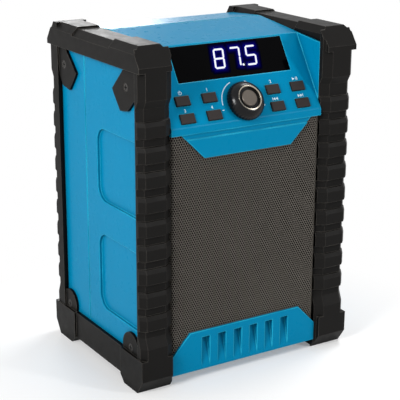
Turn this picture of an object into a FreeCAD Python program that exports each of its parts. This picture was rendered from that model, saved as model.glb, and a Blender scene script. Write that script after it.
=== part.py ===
import FreeCAD, Part
import os

import Sketcher
from FreeCAD import Placement, Rotation, Vector

# Jobsite radio, millimetres. X to the right, Y to the back, Z up.
# The origin is the middle of the footprint, on the floor.
# The footprint is that of the whole radio, so it takes in how far the knob stands out in front.
# Depths written as Y(...) are measured from the foremost plane of the guard frames.

doc = FreeCAD.newDocument("jobsite_radio")
dims = doc.addObject("Spreadsheet::Sheet", "dims")

SIZES = [
    # Whole radio
    ("width", 200), ("depth", 154), ("height", 275),
    ("parting", 97), ("wall", 3), ("side_wall", 6), ("running_gap", 0.25), ("shaft_gap", 0.05),
    # Guard frames
    ("column_width", 30), ("rail_width", 28), ("column_depth", 9), ("rear_column_depth", 16.4),
    ("panel_set", 5), ("column_chamfer", 5.5), ("inner_chamfer_wide", 6.8), ("inner_chamfer_deep", 4.85),
    ("sill", 29), ("lintel", 256), ("rail_lift", 6), ("rail_drop", 1.5), ("corner_reach", 46),
    ("foot_reach", 36),
    ("crown_chamfer_deep", 10.5), ("crown_chamfer_tall", 15), ("foot_chamfer", 11.7), ("foot_back", 8),
    ("rail_chamfer_wide", 4), ("rail_chamfer_tall", 5.5),
    ("block_low", 38.5), ("block_high", 235.3), ("block_low_ramp", 8.5), ("block_high_ramp", 6),
    ("rib_count", 9), ("rib_pitch", 19.2), ("rib_first", 52.2), ("rib_face", 8.7), ("rib_slope", 3.2),
    ("rib_undercut", 1.2), ("rib_ledge", 2.3), ("rib_set", 1), ("recess_set", 3.4),
    ("lug_proud", 2.5), ("lug_radius", 12.5), ("lug_reach", 23), ("lug_lift", 33),
    ("screw_head", 3.1), ("screw_head_tall", 1.4), ("screw_shank", 1.5), ("screw_sunk", 1.6),
    ("screw_grip", 5), ("top_screw_back", 25), ("top_screw_up", 242),
    # Housing
    ("belly", 8), ("face_set", 4.5), ("rear_set", 8), ("ledge", 210.1), ("lean", 32.5),
    ("brow", 266.6), ("crown", 273), ("crown_rear", 270), ("crown_rear_drop", 7),
    ("brow_radius", 14), ("ledge_radius", 4), ("baffle_set", 12),
    ("seam_wide", 0.7), ("seam_deep", 0.7),
    ("grille_top", 204.6), ("apron_top", 200.4), ("apron_set", 1), ("apron_low", 184.5), ("apron_half", 40.5), ("apron_shoulder", 61),
    ("trim_top", 41.6), ("trim_half", 53), ("trim_slant", 24),
    ("flute_count", 6), ("flute_pitch", 15.4), ("flute_wide", 7.6), ("flute_top", 36),
    ("flute_low", 10.5), ("flute_deep", 5.5),
    ("pocket_back", 78), ("pocket_deep", 2.5), ("pocket_radius", 12),
    ("pocket_low", 49), ("pocket_mid_low", 113.5), ("pocket_mid_high", 141.3), ("pocket_high", 201),
    # Grille and loudspeaker
    ("sheet", 1), ("grille_set", 6), ("grille_bend", 3.6), ("grille_gap", 0.3),
    ("speaker_up", 112), ("speaker_hole", 50), ("flange_radius", 58), ("flange_thick", 2.5),
    ("basket_deep", 34), ("basket_back", 30), ("cone_neck", 14), ("cone_deep", 20),
    ("magnet_radius", 32), ("magnet_tall", 16),
    # Control panel, measured up the slope from the ledge
    ("window_half", 52.5), ("window_low", 35.7), ("window_high", 65.4), ("window_thick", 1.6),
    ("window_lip", 4), ("key_wide", 12.5), ("key_tall", 7.8), ("key_inner", 29.7), ("key_outer", 53.8),
    ("key_row_low", 7), ("key_row_high", 21.4), ("key_proud", 1.4), ("key_travel", 1.2),
    ("key_flange", 0.9), ("key_radius", 1), ("mat_set", 5.6), ("mat_thick", 1), ("board_thick", 1.6),
    ("board_half", 64), ("board_low", 3.5), ("board_high", 66), ("post_radius", 3),
    ("knob_up", 14.2), ("knob_radius", 17), ("knob_waist", 15.2), ("knob_face", 11), ("knob_tall", 9.4), ("knob_lift", 0.6),
    ("knob_grips", 24), ("grip_radius", 1), ("ring_outer", 10.2), ("ring_inner", 9.3),
    ("disc_radius", 6.6),
    ("ring_thick", 1), ("shaft_radius", 3), ("bushing_radius", 3.8),
    # Rear face
    ("bay_half", 44), ("bay_low", 34), ("bay_high", 118), ("bay_floor", 108), ("bay_wall", 2.5),
    ("door_rest", 3), ("door_thick", 2.4), ("barrel_radius", 2.2), ("barrel_half", 12),
    ("knuckle_wide", 10), ("hinge_drop", 6.5), ("hinge_out", 0.6), ("pin_radius", 1.2),
    ("finger_radius", 9), ("finger_deep", 1.2), ("contact_thick", 0.8),
    ("socket_left", 6), ("socket_right", 50), ("socket_low", 136), ("socket_high", 160),
    ("socket_deep", 10), ("plate_thick", 2), ("jack_radius", 5.5), ("jack_tall", 14),
    ("dc_bore", 2.75), ("dc_deep", 9.5), ("aux_bore", 1.78), ("aux_deep", 14), ("jack_apart", 20),
    ("flap_thick", 1.6), ("flap_lap", 1.5), ("flap_plug", 3), ("flap_hinge", 3.3), ("flap_bead", 0.85), ("anchor_tall", 3),
    ("boss_radius", 5), ("boss_out", 61), ("cap_head", 3.4), ("cap_sunk", 3), ("cap_long", 22),
    ("boss_low", 20), ("boss_middle", 128), ("boss_top", 190),
    ("mast_up", 252), ("mast_out", 60), ("mast_set", 5), ("mast_outer", 2.8), ("mast_wall", 0.5),
    ("mast_fit", 0.1), ("mast_long", 116), ("mast_tip", 3.5), ("swivel_radius", 6),
]

for row, (alias, value) in enumerate(SIZES, start=1):
    dims.set("A%d" % row, alias)
    dims.set("B%d" % row, str(value))
    dims.setAlias("B%d" % row, alias)
doc.recompute()


def spell(text):
    """Writes the names of sizes in a formula as references to the sheet."""
    for alias, _ in sorted(SIZES, key=lambda size: -len(size[0])):
        text = text.replace("<%s>" % alias, "dims.%s" % alias)
    return text


def number(text):
    return float(dims.evalExpression(spell(text)))


def bind(thing, prop, text):
    thing.setExpression(prop, spell(text))


KNOB_REACH = ("((<knob_tall>+<knob_lift>)*cos(<lean>)-<face_set>"
              "-(<knob_up>-<knob_face>)*sin(<lean>))")


def Y(text):
    """A depth measured from the foremost plane."""
    return "(%s-<depth>)/2+(%s)" % (KNOB_REACH, text)


# The places that several pieces share
FACE_HALF = "(<width>/2-<column_width>)"
CORE_HALF = "(<width>/2-<rail_width>)"
PANEL_HALF = "(<width>/2-<panel_set>)"
REAR = "(<depth>-<rear_set>)"
REAR_COLUMN = "(<depth>-<rear_column_depth>)"
BROW_BACK = "(<face_set>+(<brow>-<ledge>)*tan(<lean>))"
CROWN_SLOPE = "((<crown>-<brow>)/(<parting>-%s))" % BROW_BACK
SPEAKER_BACK = "(<baffle_set>+<wall>)"
TURN_Y = Rotation(Vector(1, 0, 0), -90)
TURN_X = Rotation(Vector(0, 1, 0), 90)


def place(thing, x="0", y="0", z="0", rotation=None):
    thing.Placement = Placement(Vector(number(x), number(y), number(z)), rotation or Rotation())
    bind(thing, "Placement.Base.x", x)
    bind(thing, "Placement.Base.y", y)
    bind(thing, "Placement.Base.z", z)
    return thing


def on_panel(thing, x="0", up="0", out="0"):
    """Stands a piece on the leaning control panel, its own Z along the panel's normal."""
    place(
        thing,
        x,
        Y("<face_set>+(%s)*sin(<lean>)-(%s)*cos(<lean>)" % (up, out)),
        "<ledge>+(%s)*cos(<lean>)+(%s)*sin(<lean>)" % (up, out),
        Rotation(Vector(1, 0, 0), 90 - number("<lean>")),
    )
    bind(thing, "Placement.Rotation.Angle", "90-<lean>")
    return thing


def box(name, x, y, z):
    """A block from its two bounds along each axis."""
    block = doc.addObject("Part::Box", name)
    place(block, x[0], y[0], z[0])
    for prop, (low, high) in (("Length", x), ("Width", y), ("Height", z)):
        bind(block, prop, "(%s)-(%s)" % (high, low))
    return block


def cylinder(name, radius, length, x="0", y="0", z="0", rotation=None):
    rod = doc.addObject("Part::Cylinder", name)
    bind(rod, "Radius", radius)
    bind(rod, "Height", length)
    return place(rod, x, y, z, rotation)


def fuse(name, *pieces):
    joined = doc.addObject("Part::MultiFuse", name)
    joined.Shapes = list(pieces)
    return joined


def cut(name, base, *tools):
    tool = tools[0] if len(tools) == 1 else fuse(name + "_tools", *tools)
    carved = doc.addObject("Part::Cut", name)
    carved.Base = base
    carved.Tool = tool
    return carved


def common(name, first, second):
    shared = doc.addObject("Part::MultiCommon", name)
    shared.Shapes = [first, second]
    return shared


def mirrored(name, source):
    twin = doc.addObject("Part::Mirroring", name)
    twin.Source = source
    twin.Normal = Vector(1, 0, 0)
    return twin


def new_body(name):
    return doc.addObject("PartDesign::Body", name)


def origin_plane(body, role):
    return next(item for item in body.Origin.OriginFeatures if item.Role == role)


def outline(body, plane, points, lift="0"):
    """A closed outline of straight lines, each corner bound to its two formulas."""
    sketch = body.newObject("Sketcher::SketchObject", body.Name + "_outline")
    sketch.AttachmentSupport = [(origin_plane(body, plane + "_Plane"), "")]
    sketch.MapMode = "FlatFace"
    bind(sketch, "AttachmentOffset.Base.z", lift)
    corners = [Vector(number(a), number(b), 0) for a, b in points]
    count = len(points)
    lines = [Part.LineSegment(corners[i], corners[(i + 1) % count]) for i in range(count)]
    sketch.addGeometry(lines, False)
    rules = [Sketcher.Constraint("Coincident", i, 2, (i + 1) % count, 1) for i in range(count)]
    for i, corner in enumerate(corners):
        rules.append(Sketcher.Constraint("DistanceX", -1, 1, i, 1, corner.x))
        rules.append(Sketcher.Constraint("DistanceY", -1, 1, i, 1, corner.y))
    sketch.addConstraint(rules)
    for i, (a, b) in enumerate(points):
        bind(sketch, "Constraints[%d]" % (count + 2 * i), a)
        bind(sketch, "Constraints[%d]" % (count + 2 * i + 1), b)
    return sketch


def prism(name, plane, points, start, end):
    """An outline drawn out along the axis its plane leaves: XY along Z, XZ along Y, YZ along X."""
    body = new_body(name)
    pad = body.newObject("PartDesign::Pad", name + "_pad")
    pad.Profile = outline(body, plane, points)
    bind(pad, "Length", "(%s)-(%s)" % (end, start))
    if plane == "XY":
        place(body, "0", Y("0"), start)
    elif plane == "XZ":
        pad.Reversed = True
        place(body, "0", Y(start), "0")
    else:
        place(body, start, Y("0"), "0")
    return body


def soften(body, chosen, radius):
    """Rounds the edges of a body that the given test picks."""
    doc.recompute()
    base = body.Tip
    names = ["Edge%d" % (i + 1) for i, edge in enumerate(base.Shape.Edges) if chosen(edge)]
    fillet = body.newObject("PartDesign::Fillet", body.Name + "_fillet")
    fillet.Base = (base, names)
    bind(fillet, "Radius", radius)
    body.Tip = fillet
    return body


def lies_on(edge, first, second, axes):
    """True for an edge whose two ends both lie over one corner of its outline."""
    target = (number(first), number(second))
    for vertex in edge.Vertexes:
        for axis, wanted in zip(axes, target):
            if abs(getattr(vertex.Point, axis) - wanted) > 0.01:
                return False
    return True


def turned(name, points):
    """A solid turned about its own Z from an outline of radius and height."""
    body = new_body(name)
    turn = body.newObject("PartDesign::Revolution", name + "_turn")
    sketch = outline(body, "XZ", points)
    turn.Profile = sketch
    turn.ReferenceAxis = (sketch, ["V_Axis"])
    turn.Angle = 360
    return body


nodes = []


def node(label, thing):
    thing.Label = label
    nodes.append(thing)
    return thing


# Guard frames: a ring of rubbery moulding round each side of the housing
def column_section(rear, inset):
    """Plan of a right-hand column, outer corner cut at 45 degrees, its face and bevels set back."""
    def across(text):
        return "<depth>-(%s)" % text if rear else text
    back = "<rear_column_depth>" if rear else "<column_depth>"
    inner = CORE_HALF if rear else FACE_HALF
    outer = "<width>/2-<rib_set>"
    return [
        (inner, across(back)),
        (inner, across("<inner_chamfer_deep>+(%s)" % inset)),
        (inner + "+<inner_chamfer_wide>", across(inset)),
        ("<width>/2-<column_chamfer>", across(inset)),
        (outer, across("<column_chamfer>+(%s)-<rib_set>" % inset)),
        (outer, across(back)),
    ]


def guard_column(name, rear):
    """One column: a recessed core with a stack of buttress ribs, between two heavy corner blocks."""
    body = prism(name, "XY", column_section(rear, "<recess_set>"), "0", "<height>")
    ribs = body.newObject("PartDesign::AdditiveLoft", name + "_rib")
    levels = [
        ("<rib_first>", "<recess_set>"),
        ("<rib_first>+<rib_undercut>", "<rib_set>"),
        ("<rib_first>+<rib_undercut>+<rib_face>", "<rib_set>"),
        ("<rib_first>+<rib_undercut>+<rib_face>+<rib_slope>", "<rib_ledge>"),
        ("<rib_first>+<rib_undercut>+<rib_face>+<rib_slope>+0.6", "<recess_set>-0.01"),
    ]
    sketches = [outline(body, "XY", column_section(rear, inset), level) for level, inset in levels]
    ribs.Profile = sketches[0]
    ribs.Sections = sketches[1:]
    ribs.Ruled = True
    doc.recompute()
    row = body.newObject("PartDesign::LinearPattern", name + "_ribs")
    row.Originals = [ribs]
    row.Direction = (sketches[0], ["N_Axis"])
    bind(row, "Length", "<rib_pitch>*(<rib_count>-1)")
    bind(row, "Occurrences", "<rib_count>")
    body.Tip = row
    blocks = []
    for part, levels in (
        ("_low", [("0", "0"), ("<block_low>", "0"), ("<block_low>+<block_low_ramp>", "<recess_set>")]),
        ("_high", [("<block_high>-<block_high_ramp>", "<recess_set>"), ("<block_high>", "0"),
                   ("<height>", "0")]),
    ):
        block = new_body(name + part)
        loft = block.newObject("PartDesign::AdditiveLoft", name + part + "_loft")
        slices = [outline(block, "XY", column_section(rear, inset), level) for level, inset in levels]
        loft.Profile = slices[0]
        loft.Sections = slices[1:]
        loft.Ruled = True
        place(block, "0", Y("0"), "0")
        blocks.append(block)
    return fuse(name + "_whole", body, *blocks)


def rail_section(top):
    """Section of the top rail, seen along Y."""
    return [
        (CORE_HALF, "<lintel>"),
        (CORE_HALF, top + "-<rail_chamfer_tall>"),
        (CORE_HALF + "+<rail_chamfer_wide>", top),
        ("<width>/2-<column_chamfer>", top),
        ("<width>/2", top + "-<column_chamfer>"),
        ("<width>/2", "<lintel>"),
    ]


def corner_cutter(name, rear, top):
    """Wedge that takes a corner off the frame, seen from the side."""
    def across(text):
        return "<depth>-(%s)" % text if rear else text
    if top:
        points = [("-1", "<height>-<crown_chamfer_tall>"), ("0", "<height>-<crown_chamfer_tall>"),
                  ("<crown_chamfer_deep>", "<height>"), ("<crown_chamfer_deep>", "<height>+1"),
                  ("-1", "<height>+1")]
    else:
        points = [("-1", "-1"), ("<foot_back>", "-1"), ("<foot_back>", "0"), ("0", "<foot_chamfer>"),
                  ("-1", "<foot_chamfer>")]
    return prism(name, "YZ", [(across(a), b) for a, b in points], "<width>/4", "<width>/2+1")


def foot(name, rear):
    """Heavy lower corner that the radio stands on, ramped up to the bottom rail."""
    shape = [("0", "0"), ("<foot_reach>-<rail_lift>", "0"), ("<foot_reach>", "<rail_lift>"),
             ("<foot_reach>", "<sill>"), ("0", "<sill>")]
    if rear:
        shape = [("<depth>-(%s)" % a, b) for a, b in shape]
    return prism(name, "YZ", shape, CORE_HALF, "<width>/2")


def top_lug(name, rear):
    """Tongue that runs down over the side panel and takes a screw."""
    shape = [("<column_depth>", "<lintel>"), ("27.5", "<lintel>"), ("46.2", "<lintel>-18.2"),
             ("43.9", "<lintel>-21.6"), ("34", "<lintel>-33.5"), ("22.3", "<lintel>-31.5"),
             ("13.7", "<lintel>-23.4"), ("<column_depth>", "<lintel>-20")]
    if rear:
        shape = [("<depth>-(%s)" % a, b) for a, b in shape]
        shape[0] = (REAR_COLUMN, shape[0][1])
        shape[-1] = (REAR_COLUMN, shape[-1][1])
        shape[-2] = (REAR_COLUMN + "-1", shape[-2][1])
    return prism(name, "YZ", shape, PANEL_HALF, PANEL_HALF + "+<lug_proud>")


def bottom_lug(name, rear):
    """Half-round tab that stands on the bottom rail."""
    back = "<depth>-<lug_reach>" if rear else "<lug_reach>"
    return cylinder(name, "<lug_radius>", "<lug_proud>", PANEL_HALF, Y(back), "<lug_lift>", TURN_X)


lug_screws = [
    (Y("<top_screw_back>"), "<top_screw_up>"),
    (Y("<depth>-<top_screw_back>"), "<top_screw_up>"),
    (Y("<lug_reach>"), "<lug_lift>"),
    (Y("<depth>-<lug_reach>"), "<lug_lift>"),
]
LUG_FACE = PANEL_HALF + "+<lug_proud>"
HEAD_SEAT = LUG_FACE + "-<screw_sunk>"


def screw(name, head, tall, shank, grip, seat, rotation):
    """A screw with its head on the seat and its shank beyond it."""
    turned_screw = turned(name, [
        ("0", "-(%s)" % grip), (shank, "-(%s)" % grip), (shank, "0"), (head, "0"), (head, tall),
        ("0", tall),
    ])
    return place(turned_screw, seat[0], seat[1], seat[2], rotation)


def build_guard():
    front = guard_column("front_column", False)
    rear = guard_column("rear_column", True)
    long_rail = prism("top_rail", "XZ", rail_section("<height>-<rail_drop>"),
                      "<column_depth>", REAR_COLUMN)
    front_corner = prism("front_corner", "XZ", rail_section("<height>"), "0", "<corner_reach>")
    rear_corner = prism("rear_corner", "XZ", rail_section("<height>"),
                        "<depth>-<corner_reach>", "<depth>")
    bottom_rail = box("bottom_rail", (CORE_HALF, "<width>/2-<recess_set>/2"),
                      (Y("<column_depth>"), Y(REAR_COLUMN)), ("<rail_lift>", "<sill>"))
    feet = [foot("front_foot", False), foot("rear_foot", True)]
    ring = fuse("guard_ring", front, rear, long_rail, front_corner, rear_corner, bottom_rail, *feet)
    corners = [corner_cutter("corner_cut_%d%d" % (rear_end, top), rear_end, top)
               for rear_end in (False, True) for top in (False, True)]
    lugs = [top_lug("top_lug_front", False), top_lug("top_lug_rear", True),
            bottom_lug("bottom_lug_front", False), bottom_lug("bottom_lug_rear", True)]
    whole = fuse("guard_whole", cut("guard_trimmed", ring, *corners), *lugs)
    holes = []
    for i, (back, up) in enumerate(lug_screws):
        holes.append(cylinder("lug_sink_%d" % i, "<screw_head>+<running_gap>", "<screw_sunk>+1",
                              HEAD_SEAT, back, up, TURN_X))
        holes.append(cylinder("lug_hole_%d" % i, "<screw_shank>", "<lug_proud>", PANEL_HALF,
                              back, up, TURN_X))
    right = cut("guard_right_solid", whole, *holes)
    node("guard_right", right)
    node("guard_left", mirrored("guard_left_solid", right))
    screws = [screw("lug_screw_%d" % i, "<screw_head>", "<screw_head_tall>", "<screw_shank>",
                    "<lug_proud>-<screw_sunk>+<screw_grip>", (HEAD_SEAT, back, up), TURN_X)
              for i, (back, up) in enumerate(lug_screws)]
    set_right = doc.addObject("Part::Compound", "lug_screws_right")
    set_right.Links = screws
    both = doc.addObject("Part::Compound", "lug_screws_all")
    both.Links = [set_right, mirrored("lug_screws_left", set_right)]
    node("guard_screws", both)


# Housing: two shells that meet at the parting plane
GRILLE_OUTLINE = [
    ("-" + FACE_HALF, "<trim_slant>"), ("-<trim_half>", "<trim_top>"), ("<trim_half>", "<trim_top>"),
    (FACE_HALF, "<trim_slant>"), (FACE_HALF, "<grille_top>"), ("<apron_shoulder>", "<grille_top>"),
    ("<apron_half>", "<apron_low>"), ("-<apron_half>", "<apron_low>"),
    ("-<apron_shoulder>", "<grille_top>"), ("-" + FACE_HALF, "<grille_top>"),
]
KEYS = [
    ("power_button", "-<key_outer>", "<key_row_high>"), ("source_button", "-<key_inner>", "<key_row_high>"),
    ("pairing_button", "<key_inner>", "<key_row_high>"), ("play_button", "<key_outer>", "<key_row_high>"),
    ("preset_button", "-<key_outer>", "<key_row_low>"), ("scan_button", "-<key_inner>", "<key_row_low>"),
    ("back_button", "<key_inner>", "<key_row_low>"), ("next_button", "<key_outer>", "<key_row_low>"),
]
PANEL_POSTS = [("-1", "<window_low>-4"), ("1", "<window_low>-4"), ("-1", "<window_high>-2"),
               ("1", "<window_high>-2")]


def panel_box(name, x, up, out):
    block = doc.addObject("Part::Box", name)
    on_panel(block, x[0], up[0], out[0])
    for prop, (low, high) in (("Length", x), ("Width", up), ("Height", out)):
        bind(block, prop, "(%s)-(%s)" % (high, low))
    return block


def panel_rod(name, radius, x, up, low, high):
    rod = doc.addObject("Part::Cylinder", name)
    bind(rod, "Radius", radius)
    bind(rod, "Height", "(%s)-(%s)" % (high, low))
    return on_panel(rod, x, up, low)


def bosses(name, radius, start, end):
    rods = []
    for side in ("-", ""):
        for height in ("<boss_low>", "<boss_middle>", "<boss_top>"):
            rods.append(cylinder("%s_%d" % (name, len(rods)), radius, "(%s)-(%s)" % (end, start),
                                 side + "<boss_out>", Y(start), height, TURN_Y))
    return rods


def seam_ring(name, end):
    """Shallow step round the edge of a shell, so that the two shells meet in a fine groove."""
    start = "<parting>-<seam_wide>" if end else "<parting>"
    stop = "<parting>" if end else "<parting>+<seam_wide>"
    outer = box(name + "_outer", ("-<width>/2", "<width>/2"), (Y(start), Y(stop)), ("0", "<height>"))
    waist = box(name + "_waist", ("-" + PANEL_HALF + "+<seam_deep>", PANEL_HALF + "-<seam_deep>"),
                (Y(start), Y(stop)), ("<sill>", "<lintel>"))
    core = box(name + "_core", ("-" + CORE_HALF, CORE_HALF), (Y(start), Y(stop)),
               ("<belly>+<seam_deep>", "<crown>-<seam_deep>-0.4"))
    return cut(name, outer, fuse(name + "_keep", waist, core))


def build_front_housing():
    face = prism("front_core", "YZ", [
        ("<face_set>", "<belly>"), ("<face_set>", "<ledge>"), (BROW_BACK, "<brow>"),
        ("<parting>", "<crown>"), ("<parting>", "<belly>"),
    ], "-" + FACE_HALF, FACE_HALF)
    soften(face, lambda edge: lies_on(edge, BROW_BACK, "<brow>", "yz"), "<brow_radius>")
    soften(face, lambda edge: lies_on(edge, "<face_set>", "<ledge>", "yz"), "<ledge_radius>")
    strip_front = "<crown>-(<parting>-<column_depth>)*%s" % CROWN_SLOPE
    strips = prism("front_strips", "YZ", [
        ("<column_depth>", "<belly>"), ("<column_depth>", strip_front), ("<parting>", "<crown>"),
        ("<parting>", "<belly>"),
    ], "-" + CORE_HALF, CORE_HALF)
    wedge = prism("panel_wedge", "YZ", [
        ("-1", "<ledge>"), ("<face_set>", "<ledge>"), (BROW_BACK, "<brow>"),
        (BROW_BACK + "+<crown_chamfer_tall>", "<height>+1"), ("-1", "<height>+1"),
    ], "-" + FACE_HALF, FACE_HALF)
    bulge = box("front_bulge", ("-" + PANEL_HALF, PANEL_HALF), (Y("<column_depth>"), Y("<parting>")),
                ("<sill>", "<lintel>"))
    bulge_open = cut("front_bulge_open", fuse("front_sides", strips, bulge), wedge)
    outer = fuse("front_outer", face, bulge_open)
    inner_foot = "<face_set>+<wall>"
    plane_back = "(<face_set>+<wall>/cos(<lean>))"
    inner_core = prism("front_cavity_core", "YZ", [
        (SPEAKER_BACK, "<belly>+<wall>"), (SPEAKER_BACK, "<grille_top>+<wall>"),
        (inner_foot, "<grille_top>+<wall>"),
        (inner_foot, "<ledge>-(%s-(%s))/tan(<lean>)" % (plane_back, inner_foot)),
        (plane_back + "+(<brow>-<wall>-<ledge>)*tan(<lean>)", "<brow>-<wall>"),
        ("<parting>+1", "<crown>-<wall>"), ("<parting>+1", "<belly>+<wall>"),
    ], "-(%s-<wall>)" % FACE_HALF, "%s-<wall>" % FACE_HALF)
    inner_bulge = box("front_cavity_bulge",
                      ("-(%s-<side_wall>)" % PANEL_HALF, "%s-<side_wall>" % PANEL_HALF),
                      (Y(SPEAKER_BACK), Y("<parting>+1")),
                      ("<sill>+<wall>", "<ledge>-<wall>"))
    grille_recess = prism("grille_recess", "XZ", GRILLE_OUTLINE, "-1", "<baffle_set>")
    speaker_hole = cylinder("speaker_hole_cut", "<speaker_hole>", "<wall>+2", "0",
                            Y("<baffle_set>-1"), "<speaker_up>", TURN_Y)
    apron_step = box("apron_step", ("-" + FACE_HALF, FACE_HALF),
                     (Y("<face_set>-1"), Y("<face_set>+<apron_set>")), ("<apron_top>", "<grille_top>"))
    cuts = [inner_core, inner_bulge, grille_recess, speaker_hole, apron_step]
    for i in range(int(number("<flute_count>"))):
        flute = prism("flute_%d" % i, "YZ", [
            ("<face_set>-1", "<flute_top>"), ("<face_set>+<flute_deep>", "<flute_top>"),
            ("<face_set>", "<flute_low>"), ("<face_set>-1", "<flute_low>"),
        ], "(%d-(<flute_count>-1)/2)*<flute_pitch>-<flute_wide>/2" % i,
            "(%d-(<flute_count>-1)/2)*<flute_pitch>+<flute_wide>/2" % i)
        cuts.append(flute)
    for low, high in (("<pocket_low>", "<pocket_mid_low>"), ("<pocket_mid_high>", "<pocket_high>")):
        for side in (-1, 1):
            edge = (PANEL_HALF + "-<pocket_deep>", PANEL_HALF + "+1")
            start, end = edge if side > 0 else ("-(%s)" % edge[1], "-(%s)" % edge[0])
            pocket = prism("side_pocket", "YZ", [
                ("<column_depth>-1", low), ("<pocket_back>", low), ("<pocket_back>", high),
                ("<column_depth>-1", high),
            ], start, end)
            soften(pocket, lambda edge_line, at=low, to=high: lies_on(edge_line, "<pocket_back>", at, "yz")
                   or lies_on(edge_line, "<pocket_back>", to, "yz"), "<pocket_radius>")
            cuts.append(pocket)
    cuts.append(panel_box("window_seat", ("-<window_half>", "<window_half>"),
                          ("<window_low>", "<window_high>"), ("-<window_thick>", "2")))
    cuts.append(panel_box("window_hole", ("-<window_half>+<window_lip>", "<window_half>-<window_lip>"),
                          ("<window_low>+<window_lip>", "<window_high>-<window_lip>"), ("-<wall>-2", "0")))
    for label, x, up in KEYS:
        half = "<key_wide>/2+<running_gap>"
        tall = "<key_tall>/2+<running_gap>"
        cuts.append(panel_box(label + "_hole", ("%s-(%s)" % (x, half), "%s+%s" % (x, half)),
                              ("%s-(%s)" % (up, tall), "%s+%s" % (up, tall)), ("-<wall>-1", "2")))
    cuts.append(panel_rod("bushing_hole", "<bushing_radius>+<running_gap>", "0", "<knob_up>",
                          "-<wall>-1", "1"))
    cuts.append(seam_ring("front_seam", True))
    for i, (back, up) in enumerate(lug_screws[0::2]):
        for side, rotation in (("", TURN_X), ("-", Rotation(Vector(0, 1, 0), -90))):
            cuts.append(cylinder("front_pilot", "<screw_shank>", "<screw_grip>",
                                 "%s(%s%s<screw_grip>)" % (side, PANEL_HALF, "-"), back, up, rotation))
    shell = cut("front_shell", outer, *cuts)
    posts = []
    for i, (side, up) in enumerate(PANEL_POSTS):
        posts.append(panel_rod("panel_post_%d" % i, "<post_radius>", "%s*(<window_half>+5)" % side, up,
                               "-<mat_set>-<mat_thick>", "-<wall>+0.2"))
    rim_bosses = bosses("front_boss", "<boss_radius>", SPEAKER_BACK + "-0.5", "<parting>")
    pilots = bosses("front_boss_pilot", "<screw_shank>", "<parting>-<cap_long>", "<parting>+1")
    node("front_housing", cut("front_housing_solid", fuse("front_filled", shell, *posts, *rim_bosses),
                              *pilots))


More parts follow.
